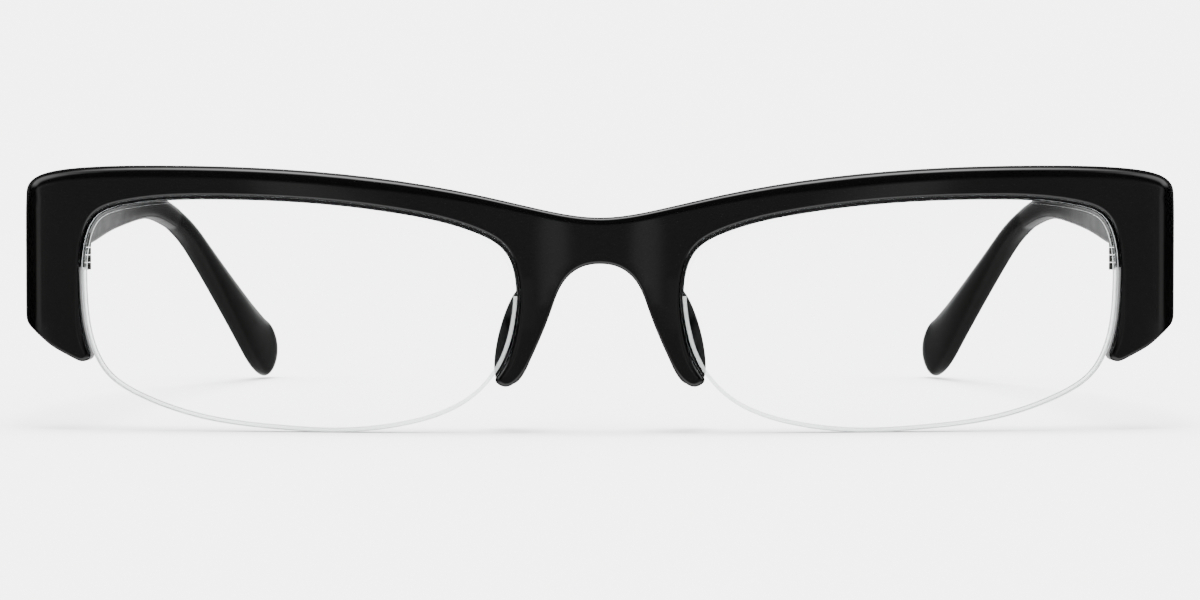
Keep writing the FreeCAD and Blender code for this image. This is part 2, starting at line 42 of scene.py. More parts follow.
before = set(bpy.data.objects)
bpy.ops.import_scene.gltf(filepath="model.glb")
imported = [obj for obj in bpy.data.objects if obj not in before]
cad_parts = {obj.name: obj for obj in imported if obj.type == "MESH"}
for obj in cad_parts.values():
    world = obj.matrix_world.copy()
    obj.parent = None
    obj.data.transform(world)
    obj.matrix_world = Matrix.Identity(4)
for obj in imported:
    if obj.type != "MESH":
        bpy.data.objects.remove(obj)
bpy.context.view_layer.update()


# ------------------------------------------------------------------ camera
# The camera stands in front of the glasses, a little higher than the hinges, and tips
# down by a degree or so.
CAMERA_DISTANCE = 0.399
CAMERA_HEIGHT = 0.02536
CAMERA_TIP = math.radians(1.353)
FOCAL_LENGTH = 101.1
SENSOR_WIDTH = 36.0
CLIP_START = 0.01
front_low, front_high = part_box("frame_front")

camera_data = bpy.data.cameras.new("camera")
camera_data.lens = FOCAL_LENGTH
camera_data.sensor_width = SENSOR_WIDTH
camera_data.clip_start = CLIP_START
camera = bpy.data.objects.new("camera", camera_data)
camera.location = (0.0, front_low.y - CAMERA_DISTANCE, CAMERA_HEIGHT)
camera.rotation_euler = (math.pi / 2 - CAMERA_TIP, 0.0, 0.0)
bpy.context.scene.collection.objects.link(camera)
bpy.context.scene.camera = camera


# ------------------------------------------------------------------ material helpers
def new_material(name):
    """A material with nothing in it but its output."""
    material = bpy.data.materials.new(name)
    material.use_nodes = True
    tree = material.node_tree
    tree.nodes.clear()
    output = tree.nodes.new("ShaderNodeOutputMaterial")
    return material, tree, output


def noise(tree, place, scale, detail=3.0, roughness=0.5):
    """Fractal noise, its scale in cells per metre."""
    made = tree.nodes.new("ShaderNodeTexNoise")
    made.inputs["Scale"].default_value = scale
    made.inputs["Detail"].default_value = detail
    made.inputs["Roughness"].default_value = roughness
    tree.links.new(place, made.inputs["Vector"])
    return made.outputs["Fac"]


def spread(tree, socket, low, high, start=0.3, end=0.7):
    """A value between start and end spread over a range; noise is mostly 0.3 to 0.7."""
    made = tree.nodes.new("ShaderNodeMapRange")
    made.inputs["From Min"].default_value = start
    made.inputs["From Max"].default_value = end
    made.inputs["To Min"].default_value = low
    made.inputs["To Max"].default_value = high
    tree.links.new(socket, made.inputs["Value"])
    return made.outputs["Result"]


def tinted(tree, socket, dark, light):
    """A colour between two, by a value."""
    made = tree.nodes.new("ShaderNodeMix")
    made.data_type = "RGBA"
    made.inputs["A"].default_value = (*dark, 1.0)
    made.inputs["B"].default_value = (*light, 1.0)
    tree.links.new(socket, made.inputs["Factor"])
    return made.outputs["Result"]


def bumped(tree, socket, depth, strength=1.0):
    """A normal that follows a height in metres."""
    made = tree.nodes.new("ShaderNodeBump")
    made.inputs["Strength"].default_value = strength
    made.inputs["Distance"].default_value = depth
    tree.links.new(socket, made.inputs["Height"])
    return made.outputs["Normal"]


def object_place(tree, stretch=(1.0, 1.0, 1.0)):
    """The object's coordinates, stretched along its axes."""
    place = tree.nodes.new("ShaderNodeTexCoord").outputs["Object"]
    mapping = tree.nodes.new("ShaderNodeMapping")
    mapping.inputs["Scale"].default_value = stretch
    tree.links.new(place, mapping.inputs["Vector"])
    return mapping.outputs["Vector"]


def principled(tree, output, **values):
    """A Principled shader on the output, its plain values set on its own sockets."""
    shader = tree.nodes.new("ShaderNodeBsdfPrincipled")
    for key, value in values.items():
        shader.inputs[key.replace("_", " ")].default_value = value
    tree.links.new(shader.outputs["BSDF"], output.inputs["Surface"])
    return shader


def blended(tree, output, share, first, second):
    """A mix of two shaders on the output, with the second one's share."""
    mix = tree.nodes.new("ShaderNodeMixShader")
    tree.links.new(share, mix.inputs["Fac"])
    tree.links.new(first, mix.inputs[1])
    tree.links.new(second, mix.inputs[2])
    tree.links.new(mix.outputs["Shader"], output.inputs["Surface"])


# ------------------------------------------------------------------ materials
def acetate(name, low_rough, high_rough):
    """Black cellulose acetate: faint clouds of colour and gloss, and a slight waviness."""
    material, tree, output = new_material(name)
    shader = principled(tree, output, IOR=1.48)
    place = object_place(tree)
    clouds = noise(tree, place, scale=90.0, detail=4.0)
    tree.links.new(tinted(tree, clouds, (0.0004, 0.0004, 0.00045), (0.0010, 0.00095, 0.00095)),
                   shader.inputs["Base Color"])
    haze = noise(tree, place, scale=260.0, detail=5.0, roughness=0.6)
    tree.links.new(spread(tree, haze, low_rough, high_rough), shader.inputs["Roughness"])
    waves = noise(tree, place, scale=60.0, detail=1.0)
    tree.links.new(bumped(tree, waves, depth=0.02 * MM, strength=0.2),
                   shader.inputs["Normal"])
    return material


def clear_lens():
    """Coated plastic: what is behind shows, and it reflects only at a slant."""
    material, tree, output = new_material("lens_plastic")
    fresnel = tree.nodes.new("ShaderNodeFresnel")
    fresnel.inputs["IOR"].default_value = 1.16
    through = tree.nodes.new("ShaderNodeBsdfTransparent")
    through.inputs["Color"].default_value = (0.995, 0.998, 0.997, 1.0)
    gloss = tree.nodes.new("ShaderNodeBsdfGlossy")
    gloss.inputs["Color"].default_value = (0.86, 0.90, 0.92, 1.0)
    haze = noise(tree, object_place(tree), scale=140.0, detail=2.0)
    tree.links.new(spread(tree, haze, low=0.02, high=0.05), gloss.inputs["Roughness"])
    blended(tree, output, fresnel.outputs["Fac"], through.outputs["BSDF"],
            gloss.outputs["BSDF"])
    return material


def lens_edge_plastic():
    """The ground edge of a lens: frosted, and bright with the light inside the lens."""
    material, tree, output = new_material("lens_edge")
    shader = principled(tree, output, IOR=1.5)
    place = object_place(tree)
    frost = noise(tree, place, scale=500.0, detail=3.0)
    tree.links.new(tinted(tree, frost, (0.74, 0.76, 0.76), (0.90, 0.92, 0.92)),
                   shader.inputs["Base Color"])
    tree.links.new(spread(tree, frost, low=0.30, high=0.48), shader.inputs["Roughness"])
    return material


def nylon():
    """Clear nylon line: milky in the middle, with painted shade that darkens it towards the
    edges it turns to the view.
    """
    material, tree, output = new_material("nylon_line")
    place = object_place(tree)
    weight = tree.nodes.new("ShaderNodeLayerWeight")
    weight.inputs["Blend"].default_value = 0.62
    facing = weight.outputs["Facing"]
    clouds = noise(tree, place, scale=400.0)
    milk = tinted(tree, clouds, (0.72, 0.73, 0.73), (0.88, 0.89, 0.89))
    # Painted shade: the line's colour turns dark grey where its surface turns away from the
    # view, standing in for the dark edges that refraction gives a clear line.
    rim = tree.nodes.new("ShaderNodeMix")
    rim.data_type = "RGBA"
    rim.inputs["B"].default_value = (0.012, 0.0125, 0.0125, 1.0)
    painted_edge_shade = spread(tree, facing, low=0.0, high=1.0, start=0.15, end=0.75)
    tree.links.new(painted_edge_shade, rim.inputs["Factor"])
    tree.links.new(milk, rim.inputs["A"])
    shader = tree.nodes.new("ShaderNodeBsdfPrincipled")
    tree.links.new(rim.outputs["Result"], shader.inputs["Base Color"])
    haze = noise(tree, place, scale=900.0)
    tree.links.new(spread(tree, haze, low=0.12, high=0.26), shader.inputs["Roughness"])
    through = tree.nodes.new("ShaderNodeBsdfTransparent")
    through.inputs["Color"].default_value = (0.97, 0.98, 0.98, 1.0)
    cover = spread(tree, facing, low=0.38, high=0.97, start=0.1, end=0.7)
    blended(tree, output, cover, through.outputs["BSDF"], shader.outputs["BSDF"])
    return material


def liner_plastic():
    """Black plastic of the liner rib: greyer and duller than the front's acetate."""
    material, tree, output = new_material("liner_plastic")
    shader = principled(tree, output, IOR=1.5)
    place = object_place(tree)
    clouds = noise(tree, place, scale=300.0, detail=4.0)
    tree.links.new(tinted(tree, clouds, (0.006, 0.006, 0.006), (0.016, 0.016, 0.017)),
                   shader.inputs["Base Color"])
    haze = noise(tree, place, scale=700.0)
    tree.links.new(spread(tree, haze, low=0.16, high=0.24), shader.inputs["Roughness"])
    return material


def metal(name, dark, light, low_rough, high_rough):
    """Brushed metal: fine level lines, and faint clouds of tarnish."""
    material, tree, output = new_material(name)
    shader = principled(tree, output, Metallic=1.0)
    lines = noise(tree, object_place(tree, (1.0, 1.0, 12.0)), scale=1800.0, detail=3.0)
    clouds = noise(tree, object_place(tree), scale=500.0, detail=4.0)
    tree.links.new(tinted(tree, clouds, dark, light), shader.inputs["Base Color"])
    tree.links.new(spread(tree, lines, low_rough, high_rough), shader.inputs["Roughness"])
    tree.links.new(bumped(tree, lines, depth=0.006 * MM, strength=0.35),
                   shader.inputs["Normal"])
    return material


front_acetate = acetate("front_acetate", low_rough=0.055, high_rough=0.11)
temple_acetate = acetate("temple_acetate", low_rough=0.17, high_rough=0.25)
pad_acetate = acetate("pad_acetate", low_rough=0.09, high_rough=0.16)
lens_plastic = clear_lens()
lens_edge = lens_edge_plastic()
nylon_line = nylon()
liner_rib = liner_plastic()
nickel_silver = metal("nickel_silver", (0.50, 0.49, 0.46), (0.70, 0.69, 0.66),
                      low_rough=0.16, high_rough=0.34)
screw_steel = metal("screw_steel", (0.46, 0.46, 0.47), (0.62, 0.62, 0.63),
                    low_rough=0.18, high_rough=0.32)
core_steel = metal("core_steel", (0.42, 0.42, 0.42), (0.60, 0.60, 0.60),
                   low_rough=0.22, high_rough=0.40)


# ------------------------------------------------------------------ mesh helpers
# Points of a mesh that are nearer than this are welded.
WELD_DISTANCE = 1e-7


def curve_at(places, values, at):
    """Smooth cubic curve through values at places, read at other places."""
    places = np.asarray(places, float)
    values = np.asarray(values, float)
    at = np.asarray(at, float)
    count = len(places)
    step = np.diff(places)
    rise = np.diff(values) / step
    system = np.eye(count)
    load = np.zeros(count)
    for i in range(1, count - 1):
        system[i, i - 1:i + 2] = (step[i - 1], 2 * (step[i - 1] + step[i]), step[i])
        load[i] = 6 * (rise[i] - rise[i - 1])
    bend = np.linalg.solve(system, load)
    i = np.clip(np.searchsorted(places, at) - 1, 0, count - 2)
    after = (at - places[i]) / step[i]
    before = 1 - after
    sag = (before ** 3 - before) * bend[i] + (after ** 3 - after) * bend[i + 1]
    return before * values[i] + after * values[i + 1] + sag * step[i] ** 2 / 6


def mesh_object(name, points, faces, material, weld=WELD_DISTANCE):
    """A smooth-shaded object from points and faces, its normals outwards."""
    mesh = bpy.data.meshes.new(name)
    mesh.from_pydata([tuple(point) for point in points], [], faces)
    work = bmesh.new()
    work.from_mesh(mesh)
    bmesh.ops.remove_doubles(work, verts=work.verts, dist=weld)
    bmesh.ops.recalc_face_normals(work, faces=work.faces)
    for face in work.faces:
        face.smooth = True
    work.to_mesh(mesh)
    work.free()
    mesh.materials.append(material)
    made = bpy.data.objects.new(name, mesh)
    bpy.context.scene.collection.objects.link(made)
    return made


def tube_faces(rings, around):
    """Quads between rings of points, and a face over each end."""
    faces = []
    for ring in range(rings - 1):
        for step in range(around):
            after = (step + 1) % around
            faces.append((ring * around + step, ring * around + after,
                          (ring + 1) * around + after, (ring + 1) * around + step))
    faces.append(tuple(range(around)))
    faces.append(tuple((rings - 1) * around + step for step in range(around)))
    return faces


def superellipse(power, around):
    """Unit superellipse, nearly square for a high power."""
    turn = np.arange(around) * 2 * math.pi / around
    aside = np.sign(np.cos(turn)) * np.abs(np.cos(turn)) ** (2 / power)
    up = np.sign(np.sin(turn)) * np.abs(np.sin(turn)) ** (2 / power)
    return aside, up


# ------------------------------------------------------------------ plan of the front
# The front face bulges at the bridge, turns back beside the nose, follows one long arc
# and turns the corner into its side.
BRIDGE_RADIUS = 29.5 * MM
BRIDGE_BULGE = 5.4 * MM
BASE_RADIUS = 198.0 * MM
SIDE_RADIUS = 3.0 * MM
FRONT_THICKNESS = 3.9 * MM
BLOCK_CLEARANCE = 1.8 * MM
# The joint face stands a hair short of the design's, so that the hinge leaf's end that
# lies in it stays proud.
JOINT_SHY = 0.04 * MM
screw_low, screw_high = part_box("hinge_screw_left")
hinge_x = (screw_low.x + screw_high.x) / 2
half_width = front_high.x
block_x = hinge_x + BLOCK_CLEARANCE
bulge_angle = math.asin(BRIDGE_BULGE / BRIDGE_RADIUS)
hollow_x = 2 * BRIDGE_BULGE
hollow_y = 2 * BRIDGE_RADIUS * (1 - math.cos(bulge_angle))
side_x = half_width - SIDE_RADIUS
side_angle = math.asin((side_x - hollow_x) / (BASE_RADIUS - SIDE_RADIUS))
side_y = hollow_y + BASE_RADIUS - (BASE_RADIUS - SIDE_RADIUS) * math.cos(side_angle)


def reach(radius, away):
    """Height of a circle over a point this far from its centre."""
    return np.sqrt(np.maximum(radius ** 2 - away ** 2, 0))


def plan_depth(x, inset=0.0):
    """Depth of the layer this far behind the front face."""
    x = np.abs(np.asarray(x, float))
    bulge = BRIDGE_RADIUS - reach(BRIDGE_RADIUS - inset, x)
    hollow = hollow_y - BRIDGE_RADIUS + reach(BRIDGE_RADIUS + inset, x - hollow_x)
    base = hollow_y + BASE_RADIUS - reach(BASE_RADIUS - inset, x - hollow_x)
    in_bulge = x < (BRIDGE_RADIUS - inset) * math.sin(bulge_angle)
    depth = np.where(in_bulge, bulge, np.where(x < hollow_x, hollow, base))
    if inset < SIDE_RADIUS:
        corner = side_y - reach(SIDE_RADIUS - inset, np.minimum(x - side_x, SIDE_RADIUS))
        depth = np.where(x > side_x + SIDE_RADIUS * math.sin(side_angle), corner, depth)
    return front_low.y + depth


def back_depth(x):
    """Depth of the back face, and of the joint face on the hinge block."""
    behind = plan_depth(x, FRONT_THICKNESS)
    return np.where(np.abs(x) > block_x, front_high.y - JOINT_SHY, behind)


# ------------------------------------------------------------------ outline of the front
# Points that round to the same multiple of SAME_POINT are one, and a point this near the
# front face lies on it.
SAME_POINT = 0.002 * MM
ON_FACE = 0.02 * MM


def front_outline():
    """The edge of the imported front's face, one ring of x and z."""
    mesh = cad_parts["frame_front"].data
    mesh.calc_loop_triangles()
    places = np.array([tuple(v.co) for v in mesh.vertices])
    triangles = np.array([tuple(t.vertices) for t in mesh.loop_triangles])
    first, same = np.unique(np.round(places / SAME_POINT), axis=0, return_index=True,
                            return_inverse=True)[1:]
    triangles = same.reshape(-1)[triangles]
    places = places[first]
    on_face = np.abs(places[:, 1] - plan_depth(places[:, 0])) < ON_FACE
    uses = {}
    for triangle in triangles[on_face[triangles].all(axis=1)]:
        for a, b in zip(triangle, np.roll(triangle, -1)):
            edge = (min(a, b), max(a, b))
            uses[edge] = uses.get(edge, 0) + 1
    beside = {}
    for (a, b), count in uses.items():
        if count == 1 and a != b:
            beside.setdefault(a, []).append(b)
            beside.setdefault(b, []).append(a)
    ring = [max(beside, key=lambda v: places[v][2])]
    previous = None
    while True:
        onward = [v for v in beside[ring[-1]] if v != previous]
        previous = ring[-1]
        if not onward or onward[0] == ring[0]:
            break
        ring.append(onward[0])
    return places[ring][:, [0, 2]]


def evened(ring, spacing):
    """The closed ring at an even spacing."""
    closed = np.vstack([ring, ring[:1]])
    run = np.concatenate([[0], np.cumsum(np.linalg.norm(np.diff(closed, axis=0), axis=1))])
    count = round(run[-1] / spacing)
    at = np.arange(count) * run[-1] / count
    return np.stack([np.interp(at, run, closed[:, axis]) for axis in (0, 1)], axis=1)


def softened(values, rounds):
    """The same values averaged with their neighbours round the ring."""
    for _ in range(rounds):
        values = (np.roll(values, 1, 0) + 2 * values + np.roll(values, -1, 0)) / 4
    return values


def inside(ring, points):
    """Which points lie inside the closed ring."""
    ahead = np.roll(ring, -1, 0)
    found = np.zeros(len(points), bool)
    for (ax, az), (bx, bz) in zip(ring, ahead):
        if az == bz:
            continue
        spans = (az > points[:, 1]) != (bz > points[:, 1])
        crossing = ax + (points[:, 1] - az) * (bx - ax) / (bz - az)
        found ^= spans & (points[:, 0] < crossing)
    return found


# Spacing of the points inside a cap, how near the ring they come as a share of it, the
# columns round the side corner, and half the width of the step at the hinge block.
CAP_SPACING = 1.1 * MM
CAP_MARGIN = 0.6
CORNER_COLUMNS = 9
HALF_STEP = 0.1 * MM
# The triangulation gives back only what lies within the ring.
WITHIN_RING = 1
CDT_TOLERANCE = 1e-5


def cap(ring, depth):
    """Points and triangles that fill the ring, at the depth of their x."""
    columns = np.arange(0, side_x, CAP_SPACING)
    corner_turn = np.linspace(0, math.pi / 2, CORNER_COLUMNS)
    corner = side_x + SIDE_RADIUS * np.sin(corner_turn)[1:-1]
    step_columns = np.array([block_x - HALF_STEP, block_x + HALF_STEP])
    columns = np.concatenate([columns[np.abs(columns - block_x) > CAP_SPACING / 2],
                              step_columns, corner])
    columns = np.concatenate([-columns[columns > 0], columns])
    levels = np.arange(ring[:, 1].min(), ring[:, 1].max(), CAP_SPACING)
    grid = np.array([(x, z) for x in columns for z in levels])
    near = np.array([np.abs(ring - point).sum(axis=1).min() for point in grid])
    grid = grid[inside(ring, grid) & (near > CAP_SPACING * CAP_MARGIN)]
    flat = np.vstack([ring, grid])
    result = delaunay_2d_cdt([Vector(p) for p in flat / MM], [],
                             [list(range(len(ring)))], WITHIN_RING, CDT_TOLERANCE)
    placed = np.array([tuple(v) for v in result[0]]) * MM
    points = np.stack([placed[:, 0], depth(placed[:, 0]), placed[:, 1]], axis=1)
    return points, [tuple(face) for face in result[2]]


# Rounding of the front's edges: broad along the brow, tight on the other edges.
EDGE_ROUND = 0.42 * MM
BROW_ROUND = 1.75 * MM
BRIDGE_ROUND = 1.1 * MM
BACK_BROW_ROUND = 0.8 * MM
# The broad rounding is full where the edge's outward direction rises by FULL_RISE or
# more, and gives way to the tight one where it is level. The bridge's rounding grows into
# the brow's between these two distances from the middle.
FULL_RISE = 0.5
BRIDGE_END = 8 * MM
BROW_START = 28 * MM
ROUND_STEPS = 8
WALL_SHARES = (0.25, 0.5, 0.75)
FINE_SPACING = 0.12 * MM
OUTLINE_SPACING = 0.4 * MM
OUTLINE_SOFTENING = 14
ROUNDING_SOFTENING = 30
FRONT_WELD = 0.001 * MM


def build_front():
    """The acetate front: one outline, its two faces, the wall and rounded edges."""
    fine = softened(evened(front_outline(), FINE_SPACING), OUTLINE_SOFTENING)
    ring = evened(fine, OUTLINE_SPACING)
    onward = np.roll(ring, -1, 0)
    if np.sum(ring[:, 0] * onward[:, 1] - onward[:, 0] * ring[:, 1]) < 0:
        ring = ring[::-1]
    ahead = np.roll(ring, -1, 0) - np.roll(ring, 1, 0)
    ahead /= np.linalg.norm(ahead, axis=1)[:, None]
    outward = np.stack([ahead[:, 1], -ahead[:, 0]], axis=1)
    upward = softened(np.clip(outward[:, 1] / FULL_RISE, 0, 1), ROUNDING_SOFTENING)
    away = (np.abs(ring[:, 0]) - BRIDGE_END) / (BROW_START - BRIDGE_END)
    towards_side = np.clip(away, 0, 1)
    brow_round = BRIDGE_ROUND + (BROW_ROUND - BRIDGE_ROUND) * towards_side
    front_round = EDGE_ROUND + (brow_round - EDGE_ROUND) * upward
    back_round = EDGE_ROUND + (BACK_BROW_ROUND - EDGE_ROUND) * upward
    layers = []
    for turn in np.linspace(0, math.pi / 2, ROUND_STEPS + 1):
        flat = ring - outward * (front_round * (1 - math.sin(turn)))[:, None]
        layers.append((flat, plan_depth(flat[:, 0]) + front_round * (1 - math.cos(turn))))
    start = layers[-1][1]
    end = back_depth(ring[:, 0]) - back_round
    for share in WALL_SHARES:
        layers.append((ring, start + (end - start) * share))
    for turn in np.linspace(math.pi / 2, 0, ROUND_STEPS + 1):
        flat = ring - outward * (back_round * (1 - math.sin(turn)))[:, None]
        layers.append((flat, back_depth(flat[:, 0]) - back_round * (1 - math.cos(turn))))
    points = np.vstack([np.stack([flat[:, 0], depth, flat[:, 1]], axis=1)
                        for flat, depth in layers])
    faces = tube_faces(len(layers), len(ring))[:-2]
    for flat, depth in ((layers[0][0], plan_depth), (layers[-1][0], back_depth)):
        cap_points, cap_faces = cap(flat, depth)
        faces += [tuple(v + len(points) for v in face) for face in cap_faces]
        points = np.vstack([points, cap_points])
    made = mesh_object("acetate_front", points, faces, front_acetate, FRONT_WELD)
    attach(made, "front")
    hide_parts("frame_front")


build_front()


# ------------------------------------------------------------------ temples
# Sections of the temple: how far along it stands (0 at the joint, 1 at the bend over
# the ear, 2 at the end), then the height of its middle and half its own height, both
# as shares of the top edge's height at the joint.
TEMPLE_SECTIONS = (
    (0.0, 0.728, 0.272), (0.045, 0.777, 0.223), (0.10, 0.820, 0.177), (0.17, 0.848, 0.149),
    (0.30, 0.857, 0.134), (0.50, 0.880, 0.106), (0.70, 0.901, 0.077), (0.86, 0.906, 0.063),
    (1.0, 0.850, 0.056), (1.15, 0.769, 0.061), (1.30, 0.658, 0.075), (1.50, 0.485, 0.105),
    (1.70, 0.307, 0.140), (1.83, 0.203, 0.157), (1.914, 0.160, 0.150), (2.0, 0.148, 0.145),
)
# The temple's plan: how far along, and the share of its sweep inwards there.
TEMPLE_PLAN = ((0.0, 0.0), (0.35, 0.0), (0.70, 0.09), (1.0, 0.31), (1.30, 0.505),
               (1.65, 0.76), (2.0, 1.0))
TEMPLE_TOP = 30.3 * MM
TEMPLE_TURN = 86.0 * MM
TEMPLE_SWEEP = 14.9 * MM
# A touch thinner than the design at the joint, so that the hinge leaf lies proud.
TEMPLE_THICKNESS = 3.92 * MM
TEMPLE_TAIL = 3.2 * MM
SQUARE_POWER = 5.0
OVAL_POWER = 2.2
# The sections come to lean with the middle line over LEAN_RUN, from LEAN_START on. The
# end rounds off from END_ROUND on, and the last ring stays this much of a full one.
LEAN_START = 0.1
LEAN_RUN = 0.30
END_ROUND = 1.905
LAST_RING = 0.02
ARM_RINGS = 150
END_RINGS = 26
JOINT_BEVEL = 0.35 * MM
BEVEL_RINGS = 5
AROUND = 56
temple_low, temple_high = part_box("temple_left")


def temple_places():
    """Places of the rings: even along the arm and crowded at the rounded end."""
    arm = np.linspace(0.0, END_ROUND, ARM_RINGS)
    turn = np.linspace(0, math.pi / 2, END_RINGS)
    end = END_ROUND + (2.0 - END_ROUND) * np.sin(turn)[1:]
    return np.concatenate([arm, end])


def build_temple(side, sign):
    """One temple: superellipse rings along its middle line."""
    places = temple_places()
    along = [row[0] for row in TEMPLE_SECTIONS]
    middle = TEMPLE_TOP * curve_at(along, [row[1] for row in TEMPLE_SECTIONS], places)
    half = TEMPLE_TOP * curve_at(along, [row[2] for row in TEMPLE_SECTIONS], places)
    inward = TEMPLE_SWEEP * curve_at([row[0] for row in TEMPLE_PLAN],
                                     [row[1] for row in TEMPLE_PLAN], places)
    tail = temple_high.y - temple_low.y - TEMPLE_TURN
    depth = temple_low.y + TEMPLE_TURN * np.minimum(places, 1)
    depth = depth + tail * np.maximum(places - 1, 0)
    slope = np.arctan(np.gradient(middle, depth))
    lean = slope * np.clip((places - LEAN_START) / LEAN_RUN, 0, 1)
    before_bend = np.minimum(places, 1)
    thick = (TEMPLE_THICKNESS + (TEMPLE_TAIL - TEMPLE_THICKNESS) * before_bend) / 2
    power = SQUARE_POWER + (OVAL_POWER - SQUARE_POWER) * before_bend
    past = np.clip((places - END_ROUND) / (2 - END_ROUND), 0, 1)
    closing = np.sqrt(np.maximum(1 - past ** 2, LAST_RING ** 2))
    half = half * closing
    thick = thick * np.sqrt(closing)
    centre = half_width - TEMPLE_THICKNESS / 2 - inward
    points = []
    for turn in np.linspace(0, math.pi / 2, BEVEL_RINGS):
        inset = JOINT_BEVEL * (1 - math.sin(turn))
        aside, up = superellipse(power[0], AROUND)
        x = centre[0] + (thick[0] - inset) * aside
        y = np.full(AROUND, depth[0] + JOINT_BEVEL * (1 - math.cos(turn)))
        z = middle[0] + (half[0] - inset) * up
        points.append(np.stack([sign * x, y, z], axis=1))
    for number in np.flatnonzero(depth > depth[0] + JOINT_BEVEL):
        aside, up = superellipse(power[number], AROUND)
        height = half[number] * up
        x = centre[number] + thick[number] * aside
        y = depth[number] - math.sin(lean[number]) * height
        z = middle[number] + math.cos(lean[number]) * height
        points.append(np.stack([sign * x, y, z], axis=1))
    made = mesh_object(f"acetate_temple_{side}", np.vstack(points),
                       tube_faces(len(points), AROUND), temple_acetate)
    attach(made, f"temple_{side}")
    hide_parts(f"temple_{side}")


# ------------------------------------------------------------------ nose pads
# Sections of a pad as it steps back and sideways from the frame's back: shares of its
# depth, splay, height and thickness.
PAD_SECTIONS = ((-0.10, 0.0, 0.94, 0.92), (0.0, 0.0, 0.95, 0.92), (0.35, 0.33, 1.0, 1.0),
                (0.70, 0.72, 0.96, 0.92), (1.0, 1.0, 0.86, 0.78))
# The section at depth 0 stands PAD_INSET to the side of the bridge's middle, PAD_MIDDLE
# above the floor, and PAD_SINK inside the front's back face.
PAD_HEIGHT = 12.6 * MM
PAD_THICKNESS = 3.4 * MM
PAD_DEPTH = 7.4 * MM
PAD_SPLAY = 2.4 * MM
PAD_TILT = math.radians(14.5)
PAD_INSET = 9.0 * MM
PAD_MIDDLE = 11.6 * MM
PAD_SINK = 0.3 * MM
# The pad's back edge rounds off from PAD_ROUND on, and its last ring stays this open.
PAD_ROUND = 0.62
PAD_LAST_RING = 0.03
PAD_BODY_RINGS = 16
PAD_ROUND_RINGS = 18


def build_pad(side, sign):
    """One built-up nose pad: ellipses that lean outwards and close in a round edge."""
    turn = np.linspace(0, math.pi / 2, PAD_ROUND_RINGS)
    back = np.concatenate([np.linspace(PAD_SECTIONS[0][0], PAD_ROUND, PAD_BODY_RINGS),
                           PAD_ROUND + (1 - PAD_ROUND) * np.sin(turn)[1:]])
    aside, tall, thick = (curve_at([row[0] for row in PAD_SECTIONS],
                                   [row[column] for row in PAD_SECTIONS], back)
                          for column in (1, 2, 3))
    past = np.clip((back - PAD_ROUND) / (1 - PAD_ROUND), 0, 1)
    closing = np.sqrt(np.maximum(1 - past ** 2, PAD_LAST_RING ** 2))
    points = []
    turn = np.arange(AROUND) * 2 * math.pi / AROUND
    for number in range(len(back)):
        shut = PAD_THICKNESS / 2 * thick[number] * (1 - closing[number])
        up = (PAD_HEIGHT / 2 * tall[number] - shut) * np.sin(turn)
        across = PAD_THICKNESS / 2 * thick[number] * closing[number] * np.cos(turn)
        x = (PAD_INSET + PAD_SPLAY * aside[number]
             + across * math.cos(PAD_TILT) + up * -math.sin(PAD_TILT))
        z = PAD_MIDDLE + across * math.sin(PAD_TILT) + up * math.cos(PAD_TILT)
        y = np.full(AROUND, front_low.y + FRONT_THICKNESS + hollow_y - PAD_SINK
                    + PAD_DEPTH * back[number])
        points.append(np.stack([sign * x, y, z], axis=1))
    made = mesh_object(f"acetate_pad_{side}", np.vstack(points),
                       tube_faces(len(points), AROUND), pad_acetate)
    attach(made, "front")
    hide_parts(f"nose_pad_{side}")


for side, sign in (("left", 1), ("right", -1)):
    build_temple(side, sign)
    build_pad(side, sign)


# ------------------------------------------------------------------ carried CAD pieces
CORD_BEVEL = 0.15 * MM
LINER_BEVEL = 0.12 * MM
LEAF_BEVEL = 0.06 * MM
SCREW_BEVEL = 0.05 * MM
BEVEL_SEGMENTS = 3
BEVEL_ANGLE = math.radians(40)


def finish_node(node, material, bevel=0.0):
    """A CAD piece with its material and, where it is hard-edged, a small bevel."""
    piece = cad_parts[node]
    piece.data.materials.clear()
    piece.data.materials.append(material)
    if bevel:
        edge = piece.modifiers.new("edge", "BEVEL")
        edge.width = bevel
        edge.segments = BEVEL_SEGMENTS
        edge.limit_method = "ANGLE"
        edge.angle_limit = BEVEL_ANGLE
    return piece


# A face of a lens belongs to its edge when its normal's share along Y is less than this.
SIDEWAYS = 0.5


def finish_lens(node):
    """A lens: clear faces, and a frosted edge wherever the surface turns sideways."""
    lens = finish_node(node, lens_plastic)
    lens.data.materials.append(lens_edge)
    for face in lens.data.polygons:
        face.material_index = int(abs(face.normal.y) < SIDEWAYS)


for side in ("left", "right"):
    finish_lens(f"lens_{side}")
    finish_node(f"nylon_cord_{side}", nylon_line, CORD_BEVEL)
    finish_node(f"lens_liner_{side}", liner_rib, LINER_BEVEL)
    finish_node(f"hinge_front_{side}", nickel_silver, LEAF_BEVEL)
    finish_node(f"hinge_temple_{side}", nickel_silver, LEAF_BEVEL)
    finish_node(f"hinge_screw_{side}", screw_steel, SCREW_BEVEL)
    finish_node(f"temple_core_{side}", core_steel)


# ------------------------------------------------------------------ studio
# Radiance of the surroundings, and how much of the light on it the floor sends back.
BACKGROUND = 5.6
FLOOR_ALBEDO = 0.55
FLOOR_HALF = 6.0
FLOOR_ROUGHNESS = 0.9
TOP_LIGHT_ANGLE = math.radians(34)
DOME_RADIUS = 4.0
DOME_SUBDIVISIONS = 6
